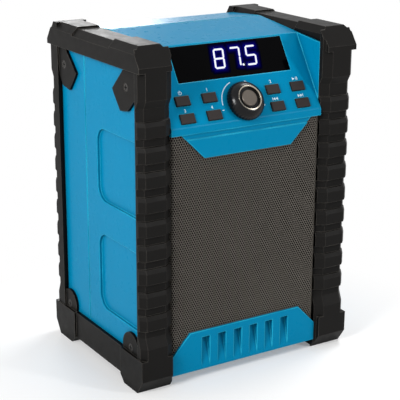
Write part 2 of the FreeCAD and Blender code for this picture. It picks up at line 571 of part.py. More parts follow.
def build_rear_housing():
    rear_top = "<crown_rear>"
    core = prism("rear_core", "YZ", [
        ("<parting>", "<belly>"), ("<parting>", "<crown>"), (REAR + "-<crown_rear_drop>", rear_top),
        (REAR, rear_top + "-<crown_rear_drop>"), (REAR, "<belly>"),
    ], "-" + CORE_HALF, CORE_HALF)
    bulge = box("rear_bulge", ("-" + PANEL_HALF, PANEL_HALF), (Y("<parting>"), Y(REAR_COLUMN)),
                ("<sill>", "<lintel>"))
    hollow_core = prism("rear_cavity_core", "YZ", [
        ("<parting>-1", "<belly>+<wall>"), ("<parting>-1", "<crown>-<wall>"),
        (REAR + "-<crown_rear_drop>-<wall>", rear_top + "-<wall>"),
        (REAR + "-<wall>", rear_top + "-<crown_rear_drop>-<wall>"), (REAR + "-<wall>", "<belly>+<wall>"),
    ], "-(%s-<wall>)" % CORE_HALF, "%s-<wall>" % CORE_HALF)
    hollow_bulge = box("rear_cavity_bulge",
                       ("-(%s-<side_wall>)" % PANEL_HALF, "%s-<side_wall>" % PANEL_HALF),
                       (Y("<parting>-1"), Y(REAR_COLUMN + "-<wall>")),
                       ("<sill>+<wall>", "<lintel>-<wall>"))
    side_pilots = []
    for back, up in lug_screws[1::2]:
        for side, rotation in (("", TURN_X), ("-", Rotation(Vector(0, 1, 0), -90))):
            side_pilots.append(cylinder("rear_pilot", "<screw_shank>", "<screw_grip>",
                                        "%s(%s-<screw_grip>)" % (side, PANEL_HALF), back, up, rotation))
    shell = cut("rear_shell", fuse("rear_outer", core, bulge), hollow_core, hollow_bulge,
                seam_ring("rear_seam", False), *side_pilots)
    rim = "<door_rest>+<bay_wall>"
    bay_block = box("bay_block", ("-<bay_half>-(%s)" % rim, "<bay_half>+%s" % rim),
                    (Y("<bay_floor>-<bay_wall>"), Y(REAR)),
                    ("<bay_low>-(%s)" % rim, "<bay_high>+%s" % rim))
    socket_block = box("socket_block", ("<socket_left>-<wall>", "<socket_right>+<wall>"),
                       (Y(REAR + "-<socket_deep>-<plate_thick>"), Y(REAR)),
                       ("<socket_low>-<wall>", "<socket_high>+<wall>"))
    rods = bosses("rear_boss", "<boss_radius>", "<parting>", REAR)
    hinge_y = Y(REAR + "+<hinge_out>")
    hinge_z = "<bay_low>-<hinge_drop>"
    knuckles = [cylinder("knuckle_%d" % i, "<barrel_radius>", "<knuckle_wide>", start, hinge_y, hinge_z,
                         TURN_X)
                for i, start in enumerate(("<barrel_half>+<running_gap>",
                                           "-<barrel_half>-<running_gap>-<knuckle_wide>"))]
    amp_posts = [cylinder("amp_post_%d" % i, "<post_radius>", "4", x, Y(y), "<bay_high>+%s" % rim)
                 for i, (x, y) in enumerate((("-36", "<bay_floor>+6"), ("36", "<bay_floor>+6")))]
    seat = cylinder("mast_seat", "<swivel_radius>", "<wall>", "<mast_out>", Y(REAR + "-<wall>"),
                    "<mast_up>", TURN_Y)
    filled = fuse("rear_filled", shell, bay_block, socket_block, seat, *rods, *knuckles, *amp_posts)
    cuts = [
        box("bay", ("-<bay_half>", "<bay_half>"), (Y("<bay_floor>"), Y(REAR + "+1")),
            ("<bay_low>", "<bay_high>")),
        box("door_rebate", ("-<bay_half>-<door_rest>", "<bay_half>+<door_rest>"),
            (Y(REAR + "-<door_thick>"), Y(REAR + "+1")),
            ("<bay_low>-<door_rest>", "<bay_high>+<door_rest>")),
        box("barrel_notch", ("-<barrel_half>-<running_gap>", "<barrel_half>+<running_gap>"),
            (Y(REAR + "+<hinge_out>-<barrel_radius>-0.5"), Y(REAR + "+<barrel_radius>+2")),
            ("<bay_low>-<hinge_drop>-<barrel_radius>-0.5", "<bay_low>")),
        cylinder("pin_bore", "<pin_radius>", "2*(<barrel_half>+<running_gap>+<knuckle_wide>)",
                 "-(<barrel_half>+<running_gap>+<knuckle_wide>)", hinge_y, hinge_z, TURN_X),
        box("socket_recess", ("<socket_left>", "<socket_right>"),
            (Y(REAR + "-<socket_deep>"), Y(REAR + "+1")), ("<socket_low>", "<socket_high>")),
        cylinder("swivel_bore", "<swivel_radius>/2+<shaft_gap>", "<wall>+2", "<mast_out>",
                 Y(REAR + "-<wall>-1"), "<mast_up>", TURN_Y),
    ]
    for i, x in enumerate((DC_X, AUX_X)):
        cuts.append(cylinder("jack_hole_%d" % i, "<jack_radius>+0.1", "<plate_thick>+2", x,
                             Y(REAR + "-<socket_deep>-<plate_thick>-1"), JACK_Z, TURN_Y))
    cuts.extend(bosses("cap_sink", "<cap_head>+<running_gap>", REAR + "-<cap_sunk>", REAR + "+1"))
    cuts.extend(bosses("cap_bore", "<screw_shank>", "<parting>-1", REAR))
    node("rear_housing", cut("rear_housing_solid", filled, *cuts))


JACK_Z = "(<socket_low>+<socket_high>)/2"
DC_X = "((<socket_left>+<socket_right>)/2+<jack_apart>/2)"
AUX_X = "((<socket_left>+<socket_right>)/2-<jack_apart>/2)"


def build_cap_screws():
    screws = []
    for side in ("-", ""):
        for height in ("<boss_low>", "<boss_middle>", "<boss_top>"):
            length = "%s-<cap_sunk>-<parting>+<cap_long>" % REAR
            screws.append(screw("cap_screw_%d" % len(screws), "<cap_head>", "<cap_sunk>-0.6",
                                "<screw_shank>", length,
                                (side + "<boss_out>", Y(REAR + "-<cap_sunk>"), height), TURN_Y))
    group = doc.addObject("Part::Compound", "cap_screws")
    group.Links = screws
    node("housing_screws", group)


# Grille and loudspeaker
def build_grille():
    half = "(%s-<grille_gap>)" % FACE_HALF
    front, back = "<grille_set>", "<baffle_set>"
    section = [
        ("-" + half, back), ("-" + half, front + "+<grille_bend>"),
        ("-%s+<grille_bend>" % half, front), ("%s-<grille_bend>" % half, front),
        (half, front + "+<grille_bend>"), (half, back), (half + "-<sheet>", back),
        (half + "-<sheet>", front + "+<grille_bend>+<sheet>/2"),
        (half + "-<grille_bend>-<sheet>/2", front + "+<sheet>"),
        ("-(%s-<grille_bend>-<sheet>/2)" % half, front + "+<sheet>"),
        ("-(%s-<sheet>)" % half, front + "+<grille_bend>+<sheet>/2"), ("-(%s-<sheet>)" % half, back),
    ]
    sheet = prism("grille_sheet", "XY", section, "<trim_slant>", "<grille_top>-<grille_gap>")
    face = prism("grille_face", "XZ", GRILLE_OUTLINE, "0", "<baffle_set>")
    node("speaker_grille", common("speaker_grille_solid", sheet, face))


def speaker_piece(label, points):
    body = turned(label + "_solid", points)
    place(body, "0", Y(SPEAKER_BACK), "<speaker_up>", TURN_Y)
    node(label, body)


def build_speaker():
    inner = "<speaker_hole>"
    back = "<basket_back>"
    deep = "<basket_deep>"
    speaker_piece("woofer_basket", [
        (inner, "0"), ("<flange_radius>", "0"), ("<flange_radius>", "<flange_thick>"),
        (inner + "+2", "<flange_thick>"), (back, deep), ("<cone_neck>+1", deep),
        ("<cone_neck>+1", deep + "-1.8"), (back + "-1.6", deep + "-1.8"),
    ])
    speaker_piece("woofer_cone", [
        (inner, "-1.8"), (inner + "-7", "-1.8"), ("<cone_neck>", "<cone_deep>"),
        ("<cone_neck>", "<cone_deep>+1"), (inner + "-7.5", "0"), (inner, "0"),
    ])
    speaker_piece("dust_cap", [
        ("0", "<cone_deep>-4"), ("<cone_neck>*0.6", "<cone_deep>-4"), ("<cone_neck>", "<cone_deep>"),
        ("<cone_neck>", "<cone_deep>+1"), ("0", "<cone_deep>+1"),
    ])
    speaker_piece("voice_coil", [
        ("<cone_neck>-1.4", "<cone_deep>+1"), ("<cone_neck>", "<cone_deep>+1"), ("<cone_neck>", deep),
        ("<cone_neck>-1.4", deep),
    ])
    speaker_piece("woofer_magnet", [
        ("0", deep), ("<magnet_radius>", deep), ("<magnet_radius>", deep + "+<magnet_tall>"),
        ("0", deep + "+<magnet_tall>"),
    ])


# Control panel
def build_panel():
    window = panel_box("window_plate", ("-<window_half>", "<window_half>"),
                       ("<window_low>", "<window_high>"), ("-<window_thick>", "0"))
    node("display_window", window)
    lip = "<window_lip>+0.3"
    node("display_module", panel_box(
        "display_block", ("-<window_half>+%s" % lip, "<window_half>-(%s)" % lip),
        ("<window_low>+%s" % lip, "<window_high>-(%s)" % lip),
        ("-<mat_set>-<mat_thick>", "-<window_thick>-0.1")))
    for label, x, up in KEYS:
        key = new_body(label + "_body")
        cap = key.newObject("PartDesign::Pad", label + "_pad")
        cap.Profile = outline(key, "XY", [("-<key_wide>/2", "-<key_tall>/2"),
                                          ("<key_wide>/2", "-<key_tall>/2"),
                                          ("<key_wide>/2", "<key_tall>/2"),
                                          ("-<key_wide>/2", "<key_tall>/2")])
        bind(cap, "Length", "<key_proud>+<wall>+<running_gap>")
        top = number("<key_proud>+<wall>+<running_gap>")
        soften(key, lambda edge: all(abs(v.Point.z - top) < 0.01 for v in edge.Vertexes),
               "<key_radius>*0.6")
        on_panel(key, x, up, "-<wall>-<running_gap>")
        flange = panel_box(label + "_flange",
                           ("%s-<key_wide>/2-0.7" % x, "%s+<key_wide>/2+0.7" % x),
                           ("%s-<key_tall>/2-0.7" % up, "%s+<key_tall>/2+0.7" % up),
                           ("-<wall>-<running_gap>-<key_flange>", "-<wall>-<running_gap>"))
        node(label, fuse(label + "_solid", key, flange))
    mat = panel_box("mat_sheet", ("-<key_outer>-<key_wide>/2-2", "<key_outer>+<key_wide>/2+2"),
                    ("<board_low>", "<window_low>-8"), ("-<mat_set>-<mat_thick>", "-<mat_set>"))
    mat_hole = panel_box("mat_hole", ("-9", "9"), ("<knob_up>-9", "<knob_up>+9"), ("-9", "0"))
    node("keypad_mat", cut("keypad_mat_solid", mat, mat_hole))
    board_top = "-<mat_set>-<mat_thick>"
    node("control_board", panel_box("control_board_solid", ("-<board_half>", "<board_half>"),
                                    ("<board_low>", "<board_high>"),
                                    (board_top + "-<board_thick>", board_top)))
    base = panel_box("encoder_base", ("-6.5", "6.5"), ("<knob_up>-6.5", "<knob_up>+6.5"),
                     (board_top, "-<wall>-0.3"))
    bushing = panel_rod("encoder_bushing", "<bushing_radius>", "0", "<knob_up>", "-<wall>-0.4", "0.4")
    bore = panel_rod("encoder_bore", "<shaft_radius>+<shaft_gap>", "0", "<knob_up>",
                     board_top + "+1", "3")
    node("rotary_encoder", cut("rotary_encoder_solid", fuse("encoder_block", base, bushing), bore))
    node("encoder_shaft", panel_rod("encoder_shaft_solid", "<shaft_radius>", "0", "<knob_up>",
                                    board_top + "+1.1", "<knob_tall>-4"))


def build_knob():
    top = "<knob_tall>"
    floor = top + "-<ring_thick>-1"
    knob = turned("knob_blank", [
        ("<shaft_radius>", "0"), ("<knob_radius>", "0"), ("<knob_radius>", "2.4"),
        ("<knob_waist>", "%s*0.6" % top), ("<knob_face>", top), ("<ring_outer>", top),
        ("<ring_outer>", floor), ("0", floor), ("0", top + "-4-<knob_lift>"),
        ("<shaft_radius>", top + "-4-<knob_lift>"),
    ])
    on_panel(knob, "0", "<knob_up>", "<knob_lift>")
    grooves = []
    for i in range(int(number("<knob_grips>"))):
        turn = "%d*360/<knob_grips>" % i
        groove = doc.addObject("Part::Prism", "grip_%d" % i)
        groove.Polygon = 4
        bind(groove, "Circumradius", "<grip_radius>")
        bind(groove, "Height", top)
        out = "(<knob_radius>+0.2)"
        groove.Placement = Placement(Vector(), Rotation(Vector(0, 0, 1), number(turn)))
        bind(groove, "Placement.Base.x", "%s*cos(%s)" % (out, turn))
        bind(groove, "Placement.Base.y", "%s*sin(%s)" % (out, turn))
        bind(groove, "Placement.Base.z", "1.2")
        grooves.append(groove)
    ring_of_grooves = fuse("knob_grips_tool", *grooves)
    on_panel(ring_of_grooves, "0", "<knob_up>", "<knob_lift>")
    node("volume_knob", cut("volume_knob_solid", knob, ring_of_grooves))
    ring = turned("knob_ring_solid", [
        ("<ring_inner>", floor), ("<ring_outer>", floor), ("<ring_outer>", top + "+0.2"),
        ("<ring_inner>", top + "-0.2"),
    ])
    node("knob_ring", on_panel(ring, "0", "<knob_up>", "<knob_lift>"))
    disc = turned("knob_cap_solid", [
        ("0", floor), ("<disc_radius>", floor), ("<disc_radius>", top + "-1"),
        ("<disc_radius>-0.5", top + "-0.5"), ("0", top + "-0.5"),
    ])
    node("knob_cap", on_panel(disc, "0", "<knob_up>", "<knob_lift>"))


# Battery door, sockets and antenna on the rear face
def build_battery_door():
    gap = "<running_gap>"
    reach = "<bay_half>+<door_rest>-" + gap
    plate = box("door_plate", ("-(%s)" % reach, reach), (Y(REAR + "-<door_thick>"), Y(REAR)),
                ("<bay_low>-<door_rest>+" + gap, "<bay_high>+<door_rest>-" + gap))
    hinge_y = Y(REAR + "+<hinge_out>")
    hinge_z = "<bay_low>-<hinge_drop>"
    barrel = cylinder("door_barrel", "<barrel_radius>", "2*<barrel_half>", "-<barrel_half>", hinge_y,
                      hinge_z, TURN_X)
    web = box("door_web", ("-<barrel_half>", "<barrel_half>"), (Y(REAR + "-1.4"), Y(REAR + "+<hinge_out>")),
              (hinge_z, "<bay_low>-<door_rest>+1"))
    finger = cylinder("door_finger", "<finger_radius>", "<finger_deep>+1", "0",
                      Y(REAR + "-<finger_deep>"), "<bay_high>+<door_rest>-" + gap, TURN_Y)
    bore = cylinder("door_bore", "<pin_radius>+<shaft_gap>", "2*<barrel_half>+2", "-<barrel_half>-1",
                    hinge_y, hinge_z, TURN_X)
    node("battery_door", cut("battery_door_solid", fuse("door_blank", plate, barrel, web), finger, bore))
    span = "(<barrel_half>+<running_gap>+<knuckle_wide>)"
    node("hinge_pin", cylinder("hinge_pin_solid", "<pin_radius>", "2*" + span, "-" + span, hinge_y,
                               hinge_z, TURN_X))
    plates = []
    for side in (-1, 1):
        inner = "<bay_half>-<contact_thick>"
        x = (inner, "<bay_half>") if side > 0 else ("-<bay_half>", "-(%s)" % inner)
        for low, high in (("<bay_low>+6", "(<bay_low>+<bay_high>)/2-4"),
                          ("(<bay_low>+<bay_high>)/2+4", "<bay_high>-6")):
            plates.append(box("contact_%d" % len(plates), x, (Y("<bay_floor>+3"), Y("<bay_floor>+26")),
                              (low, high)))
    group = doc.addObject("Part::Compound", "contact_set")
    group.Links = plates
    node("battery_contacts", group)
    node("amplifier_board", box("amplifier_board_solid", ("-42", "42"),
                                (Y("<parting>+4"), Y("<bay_floor>+18")),
                                ("<bay_high>+<door_rest>+<bay_wall>+4",
                                 "<bay_high>+<door_rest>+<bay_wall>+4+<board_thick>")))


def build_sockets():
    floor = REAR + "-<socket_deep>"
    plate = box("socket_plate_blank", ("<socket_left>", "<socket_right>"),
                (Y(floor), Y(floor + "+<plate_thick>")), ("<socket_low>", "<socket_high>"))
    holes = [cylinder("plate_hole_%d" % i, "<jack_radius>", "<plate_thick>+2", x, Y(floor + "-1"),
                      JACK_Z, TURN_Y) for i, x in enumerate((DC_X, AUX_X))]
    node("socket_plate", cut("socket_plate_solid", plate, *holes))
    face = Y(floor + "+<plate_thick>+0.8-<jack_tall>")
    for label, x, bore, deep in (("power_socket", DC_X, "<dc_bore>", "<dc_deep>"),
                                 ("audio_socket", AUX_X, "<aux_bore>", "<aux_deep>-2")):
        shell = cylinder(label + "_shell", "<jack_radius>", "<jack_tall>", x, face, JACK_Z, TURN_Y)
        hole = cylinder(label + "_bore", bore, deep + "+1", x,
                        Y(floor + "+<plate_thick>+0.8-(%s)" % deep), JACK_Z, TURN_Y)
        node(label, cut(label + "_solid", shell, hole))
    lap = "<flap_lap>"
    cover = box("flap_cover", ("<socket_left>-" + lap, "<socket_right>+" + lap),
                (Y(REAR + "+0.1"), Y(REAR + "+0.1+<flap_thick>")),
                ("<socket_low>-" + lap, "<socket_high>+<flap_hinge>"))
    bead = cylinder("flap_bead_rod", "<flap_bead>", "<socket_right>-<socket_left>+2*" + lap,
                    "<socket_left>-" + lap, Y(REAR + "+0.15+<flap_bead>"),
                    "<socket_high>+<flap_hinge>", TURN_X)
    plug = box("flap_plug_ring", ("<socket_left>+0.8", "<socket_right>-0.8"),
               (Y(REAR + "-<flap_plug>"), Y(REAR + "+0.2")), ("<socket_low>+2", "<socket_high>-1"))
    plug_hollow = box("flap_plug_hollow", ("<socket_left>+2.8", "<socket_right>-2.8"),
                      (Y(REAR + "-<flap_plug>-1"), Y(REAR + "+0.1")),
                      ("<socket_low>+4", "<socket_high>-3"))
    tab = box("flap_tab", ("(<socket_left>+<socket_right>)/2-7", "(<socket_left>+<socket_right>)/2+7"),
              (Y(REAR + "+0.1"), Y(REAR + "+0.1+<flap_thick>")),
              ("<socket_low>-<flap_lap>-3.5", "<socket_low>-" + lap))
    node("socket_flap", fuse("socket_flap_solid", cover, bead, cut("flap_plug_cut", plug, plug_hollow), tab))
    anchor = "<socket_high>+<flap_hinge>+1.8"
    node("flap_anchor", box("flap_anchor_solid", ("<socket_left>-" + lap, "<socket_right>+" + lap),
                            (Y(REAR), Y(REAR + "+0.1+<flap_thick>")), (anchor, anchor + "+<anchor_tall>")))


def mast_rod(name, radius, top, bottom):
    """A round length of the antenna, folded down, between two distances below its pivot."""
    return cylinder(name, radius, "(%s)-(%s)" % (bottom, top), "<mast_out>", Y(REAR + "+<mast_set>"),
                    "<mast_up>-(%s)" % bottom)


def build_antenna():
    """The antenna folds down along the rear face, swings up on its swivel and leans out."""
    axis = REAR + "+<mast_set>"
    hub = cylinder("swivel_hub", "<swivel_radius>-0.6", "<mast_set>-<mast_outer>-0.5", "<mast_out>",
                   Y(REAR + "+0.2"), "<mast_up>", TURN_Y)
    spindle = cylinder("swivel_spindle", "<swivel_radius>/2", "<wall>+0.4", "<mast_out>",
                       Y(REAR + "-<wall>"), "<mast_up>", TURN_Y)
    ear_in, ear_out, ear_tall = "<mast_outer>-0.9", "<mast_outer>+0.4", "2.5"
    ears = [box("swivel_ear_%d" % i, span, (Y(REAR + "+0.2"), Y(axis + "+" + ear_tall)),
                ("<mast_up>-" + ear_tall, "<mast_up>+" + ear_tall))
            for i, span in enumerate((("<mast_out>+" + ear_in, "<mast_out>+" + ear_out),
                                      ("<mast_out>-(%s)" % ear_out, "<mast_out>-(%s)" % ear_in)))]
    axle = cylinder("swivel_axle", "1", "2*(%s)" % ear_out, "<mast_out>-(%s)" % ear_out, Y(axis),
                    "<mast_up>", TURN_X)
    node("antenna_swivel", fuse("antenna_swivel_solid", hub, spindle, axle, *ears))
    half, deep = "(<mast_outer>-1.1)", "(<mast_outer>-0.8)"
    knuckle = cylinder("mast_knuckle", "<mast_outer>-0.4", "2*" + half, "<mast_out>-" + half, Y(axis),
                       "<mast_up>", TURN_X)
    shoulder = box("mast_shoulder", ("<mast_out>-" + half, "<mast_out>+" + half),
                   (Y(axis + "-" + deep), Y(axis + "+" + deep)), ("<mast_up>-5", "<mast_up>"))
    tube = mast_rod("mast_tube", "<mast_outer>", "4", "<mast_long>")
    eye = cylinder("mast_eye", "1+<shaft_gap>", "2*<mast_outer>", "<mast_out>-<mast_outer>", Y(axis),
                   "<mast_up>", TURN_X)
    bore = "(<mast_outer>-<mast_wall>)"
    hole = mast_rod("mast_hole", bore, "7", "<mast_long>+1")
    node("antenna_lower", cut("antenna_lower_solid", fuse("mast_blank", knuckle, shoulder, tube), eye,
                              hole))
    middle_bore = "(%s-<mast_fit>-<mast_wall>)" % bore
    node("antenna_middle", cut("antenna_middle_solid",
                               mast_rod("mast_middle", bore + "-<mast_fit>", "9", "<mast_long>"),
                               mast_rod("mast_middle_hole", middle_bore, "8", "<mast_long>+1")))
    node("antenna_tip", fuse("antenna_tip_solid",
                             mast_rod("mast_rod_solid", middle_bore + "-<mast_fit>", "13",
                                      "<mast_long>+0.5"),
                             mast_rod("mast_tip_knob", "<mast_outer>", "<mast_long>+0.3",
                                      "<mast_long>+0.3+<mast_tip>")))


build_guard()
build_front_housing()
build_rear_housing()
build_cap_screws()
build_grille()
build_speaker()
build_panel()
build_knob()
build_battery_door()
build_sockets()
build_antenna()
doc.recompute()

faults = [thing.Name for thing in doc.Objects if {"Invalid", "Error"} & set(thing.State)]
for thing in nodes:
    if thing.Shape.isNull() or not thing.Shape.isValid():
        faults.append(thing.Label)
if faults:
    raise RuntimeError("pieces that failed: " + ", ".join(faults))

os.makedirs("parts", exist_ok=True)
for thing in nodes:
    thing.Shape.exportStep("parts/%s.step" % thing.Label)
    size = thing.Shape.BoundBox
    print("%-18s solids %d volume %9.1f  box %6.1f %6.1f %6.1f | %6.1f %6.1f %6.1f" % (
        thing.Label, len(thing.Shape.Solids), thing.Shape.Volume,
        size.XMin, size.YMin, size.ZMin, size.XMax, size.YMax, size.ZMax))
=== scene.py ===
import math

import bpy
from mathutils import Matrix, Vector


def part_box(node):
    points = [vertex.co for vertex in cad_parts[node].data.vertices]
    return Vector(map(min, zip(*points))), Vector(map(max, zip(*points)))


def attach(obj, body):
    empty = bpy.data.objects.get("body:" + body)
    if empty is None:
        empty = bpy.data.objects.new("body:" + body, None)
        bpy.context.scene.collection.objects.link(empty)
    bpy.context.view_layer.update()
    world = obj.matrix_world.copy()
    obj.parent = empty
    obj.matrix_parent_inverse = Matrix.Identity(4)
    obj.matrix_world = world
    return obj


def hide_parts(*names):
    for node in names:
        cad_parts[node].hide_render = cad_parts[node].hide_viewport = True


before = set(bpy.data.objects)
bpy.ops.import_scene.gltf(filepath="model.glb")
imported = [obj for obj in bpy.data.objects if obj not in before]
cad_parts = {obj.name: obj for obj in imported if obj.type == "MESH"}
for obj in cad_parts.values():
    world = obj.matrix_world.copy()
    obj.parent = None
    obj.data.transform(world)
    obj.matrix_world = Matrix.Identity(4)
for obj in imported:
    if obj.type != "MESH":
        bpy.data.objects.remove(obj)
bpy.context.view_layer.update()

MM = 0.001

# The control panel leans back from the front edge of the housing's ledge
LEAN = math.radians(32.5)
UP_SLOPE = Vector((0, math.sin(LEAN), math.cos(LEAN)))
OUTWARD = Vector((0, -math.cos(LEAN), math.sin(LEAN)))
LEDGE_HEIGHT = 210.1 * MM
LEDGE = Vector((0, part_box("front_housing")[0].y, LEDGE_HEIGHT))


def on_panel(across, up, out=0.0):
    """A point of the leaning control panel: across it, up its slope and out from it."""
    return LEDGE + Vector((across, 0, 0)) + UP_SLOPE * up + OUTWARD * out


def srgb(red, green, blue):
    """A colour as it looks on screen, 0 to 255, as the linear values a shader takes."""
    values = []
    for channel in (red, green, blue):
        share = channel / 255
        values.append(share / 12.92 if share <= 0.04045 else ((share + 0.055) / 1.055) ** 2.4)
    return (*values, 1.0)


# Shader helpers
def new_group(name, inputs, outputs):
    """An empty shader group with named sockets, and the nodes at its two ends."""
    group = bpy.data.node_groups.new(name, "ShaderNodeTree")
    for label, kind, value in inputs:
        socket = group.interface.new_socket(label, in_out="INPUT", socket_type=kind)
        socket.default_value = value
    for label, kind in outputs:
        group.interface.new_socket(label, in_out="OUTPUT", socket_type=kind)
    return group, group.nodes.new("NodeGroupInput"), group.nodes.new("NodeGroupOutput")


def add(tree, kind, **settings):
    """A new node with its settings."""
    made = tree.nodes.new(kind)
    for name, value in settings.items():
        setattr(made, name, value)
    return made


def feed(tree, socket, value):
    """Sets a socket to a constant, or links it to another node's output."""
    if isinstance(value, (int, float, tuple)):
        socket.default_value = value
    else:
        tree.links.new(value, socket)


def scaled_noise(tree, scale, detail):
    """Noise in the piece's own coordinates, from 0 to 1."""
    place = add(tree, "ShaderNodeTexCoord")
    noise = add(tree, "ShaderNodeTexNoise")
    noise.inputs["Detail"].default_value = detail
    noise.inputs["Roughness"].default_value = 0.55
    tree.links.new(place.outputs["Object"], noise.inputs["Vector"])
    feed(tree, noise.inputs["Scale"], scale)
    return noise.outputs["Fac"]


def ranged(tree, value, low, high, to_low, to_high):
    """A value moved from one range to another and kept within it."""
    remap = add(tree, "ShaderNodeMapRange")
    feed(tree, remap.inputs["Value"], value)
    for label, limit in (("From Min", low), ("From Max", high), ("To Min", to_low), ("To Max", to_high)):
        feed(tree, remap.inputs[label], limit)
    return remap.outputs["Result"]


def maths(tree, operation, first, second):
    """Two values joined by one operation."""
    node = add(tree, "ShaderNodeMath", operation=operation)
    feed(tree, node.inputs[0], first)
    feed(tree, node.inputs[1], second)
    return node.outputs[0]


def mixed(tree, share, first, second):
    """One colour that goes over into another by a share."""
    node = add(tree, "ShaderNodeMix", data_type="RGBA")
    feed(tree, node.inputs[0], share)
    feed(tree, node.inputs[6], first)
    feed(tree, node.inputs[7], second)
    return node.outputs[2]


# Moulded surfaces. Noise scales are in waves to the metre
PATCH_SCALE = 30.0
DRIFT_SCALE = 9.0
SMEAR_SCALE = 140.0
SMEAR_DEPTH = 0.05
# Agreement of the rounded normal with the flat one, where the paler edges of wear and painted highlight
# begin and where they are full
WEAR_AND_HIGHLIGHT_BEGINS = 0.995
WEAR_AND_HIGHLIGHT_FULL = 0.85
# Open share of the surroundings, where painted shade in a hollow begins and where it is darkest
HOLLOW_BEGINS = 0.95
HOLLOW_FULL = 0.5
HOLLOW_REACH = 7 * MM
BUMP_RISE = 0.3 * MM
PROBE_RAYS = 6


def build_moulding_group():
    """Moulded surface: slow drift of colour, fine grain, painted shade in hollows, and paler edges of wear
    and painted highlight.
    """
    group, given, result = new_group(
        "moulding",
        [("Colour", "NodeSocketColor", (0.5, 0.5, 0.5, 1)), ("Wear and highlight", "NodeSocketColor", (0.6, 0.6, 0.6, 1)),
         ("Grain", "NodeSocketFloat", 1800.0), ("Drift", "NodeSocketFloat", 0.08),
         ("Wear and highlight share", "NodeSocketFloat", 0.3), ("Roughness", "NodeSocketFloat", 0.5),
         ("Edge", "NodeSocketFloat", 0.0008), ("Hollow shade", "NodeSocketFloat", 0.3)],
        [("Colour", "NodeSocketColor"), ("Roughness", "NodeSocketFloat"), ("Height", "NodeSocketFloat"),
         ("Normal", "NodeSocketVector")],
    )
    # Edges, paler by wear and painted highlight: where a rounded normal turns away from the flat one, in
    # patches
    rounded = add(group, "ShaderNodeBevel", samples=PROBE_RAYS)
    group.links.new(given.outputs["Edge"], rounded.inputs["Radius"])
    flat = add(group, "ShaderNodeNewGeometry")
    facing = add(group, "ShaderNodeVectorMath", operation="DOT_PRODUCT")
    group.links.new(rounded.outputs["Normal"], facing.inputs[0])
    group.links.new(flat.outputs["Normal"], facing.inputs[1])
    edge = ranged(group, facing.outputs["Value"], WEAR_AND_HIGHLIGHT_BEGINS, WEAR_AND_HIGHLIGHT_FULL, 0.0, 1.0)
    patches = ranged(group, scaled_noise(group, PATCH_SCALE, 2.0), 0.35, 0.6, 0.45, 1.0)
    wear_and_highlight = maths(group, "MULTIPLY", maths(group, "MULTIPLY", edge, patches), given.outputs["Wear and highlight share"])
    # Shade: the slow drift, darkened in hollows by painted shade
    drift = ranged(group, scaled_noise(group, DRIFT_SCALE, 3.0), 0.3, 0.7, -0.5, 0.5)
    shade = maths(group, "ADD", maths(group, "MULTIPLY", drift, given.outputs["Drift"]), 1.0)
    hollow = add(group, "ShaderNodeAmbientOcclusion", samples=PROBE_RAYS)
    hollow.inputs["Distance"].default_value = HOLLOW_REACH
    painted_hollow_shade = maths(group, "MULTIPLY",
                   ranged(group, hollow.outputs["AO"], HOLLOW_BEGINS, HOLLOW_FULL, 0.0, 1.0),
                   given.outputs["Hollow shade"])
    shade = maths(group, "MULTIPLY", shade, maths(group, "SUBTRACT", 1.0, painted_hollow_shade))
    tinted = add(group, "ShaderNodeVectorMath", operation="SCALE")
    group.links.new(given.outputs["Colour"], tinted.inputs[0])
    group.links.new(shade, tinted.inputs["Scale"])
    colour = mixed(group, wear_and_highlight, tinted.outputs[0], given.outputs["Wear and highlight"])
    # Grain and smears
    grain = scaled_noise(group, given.outputs["Grain"], 2.0)
    smears = ranged(group, scaled_noise(group, SMEAR_SCALE, 5.0), 0.3, 0.7, -SMEAR_DEPTH, SMEAR_DEPTH)
    rough = maths(group, "ADD", given.outputs["Roughness"], smears)
    group.links.new(colour, result.inputs["Colour"])
    group.links.new(rough, result.inputs["Roughness"])
    group.links.new(grain, result.inputs["Height"])
    group.links.new(rounded.outputs["Normal"], result.inputs["Normal"])
    return group


MOULDING = build_moulding_group()


def surface(name, colour, wear_and_highlight=None, roughness=0.5, grain=1800.0, grain_depth=0.05, drift=0.08, wear_and_highlight_share=0.3,
            edge=0.0008, metallic=0.0, specular=0.5, hollow_shade=0.3):
    """A material built on the moulding group. Without a colour for edge wear and painted highlight, edges
    keep the plain one.
    """
    material = bpy.data.materials.new(name)
    material.use_nodes = True
    tree = material.node_tree
    shader = tree.nodes["Principled BSDF"]
    shader.inputs["Metallic"].default_value = metallic
    shader.inputs["Specular IOR Level"].default_value = specular
    group = add(tree, "ShaderNodeGroup", node_tree=MOULDING)
    group.inputs["Colour"].default_value = colour
    group.inputs["Wear and highlight"].default_value = wear_and_highlight or colour
    for label, value in (("Grain", grain), ("Drift", drift), ("Wear and highlight share", wear_and_highlight_share), ("Roughness", roughness),
                         ("Edge", edge), ("Hollow shade", hollow_shade)):
        group.inputs[label].default_value = value
    bump = add(tree, "ShaderNodeBump")
    bump.inputs["Strength"].default_value = grain_depth
    bump.inputs["Distance"].default_value = BUMP_RISE
    tree.links.new(group.outputs["Height"], bump.inputs["Height"])
    tree.links.new(group.outputs["Normal"], bump.inputs["Normal"])
    tree.links.new(group.outputs["Colour"], shader.inputs["Base Color"])
    tree.links.new(group.outputs["Roughness"], shader.inputs["Roughness"])
    tree.links.new(bump.outputs["Normal"], shader.inputs["Normal"])
    return material


def lit(name, colour, strength):
    """A glowing finish for the display, without any shine of its own."""
    material = bpy.data.materials.new(name)
    material.use_nodes = True
    shader = material.node_tree.nodes["Principled BSDF"]
    shader.inputs["Base Color"].default_value = (0, 0, 0, 1)
    shader.inputs["Emission Color"].default_value = colour
    shader.inputs["Emission Strength"].default_value = strength
    shader.inputs["Specular IOR Level"].default_value = 0.0
    shader.inputs["Roughness"].default_value = 1.0
    return material
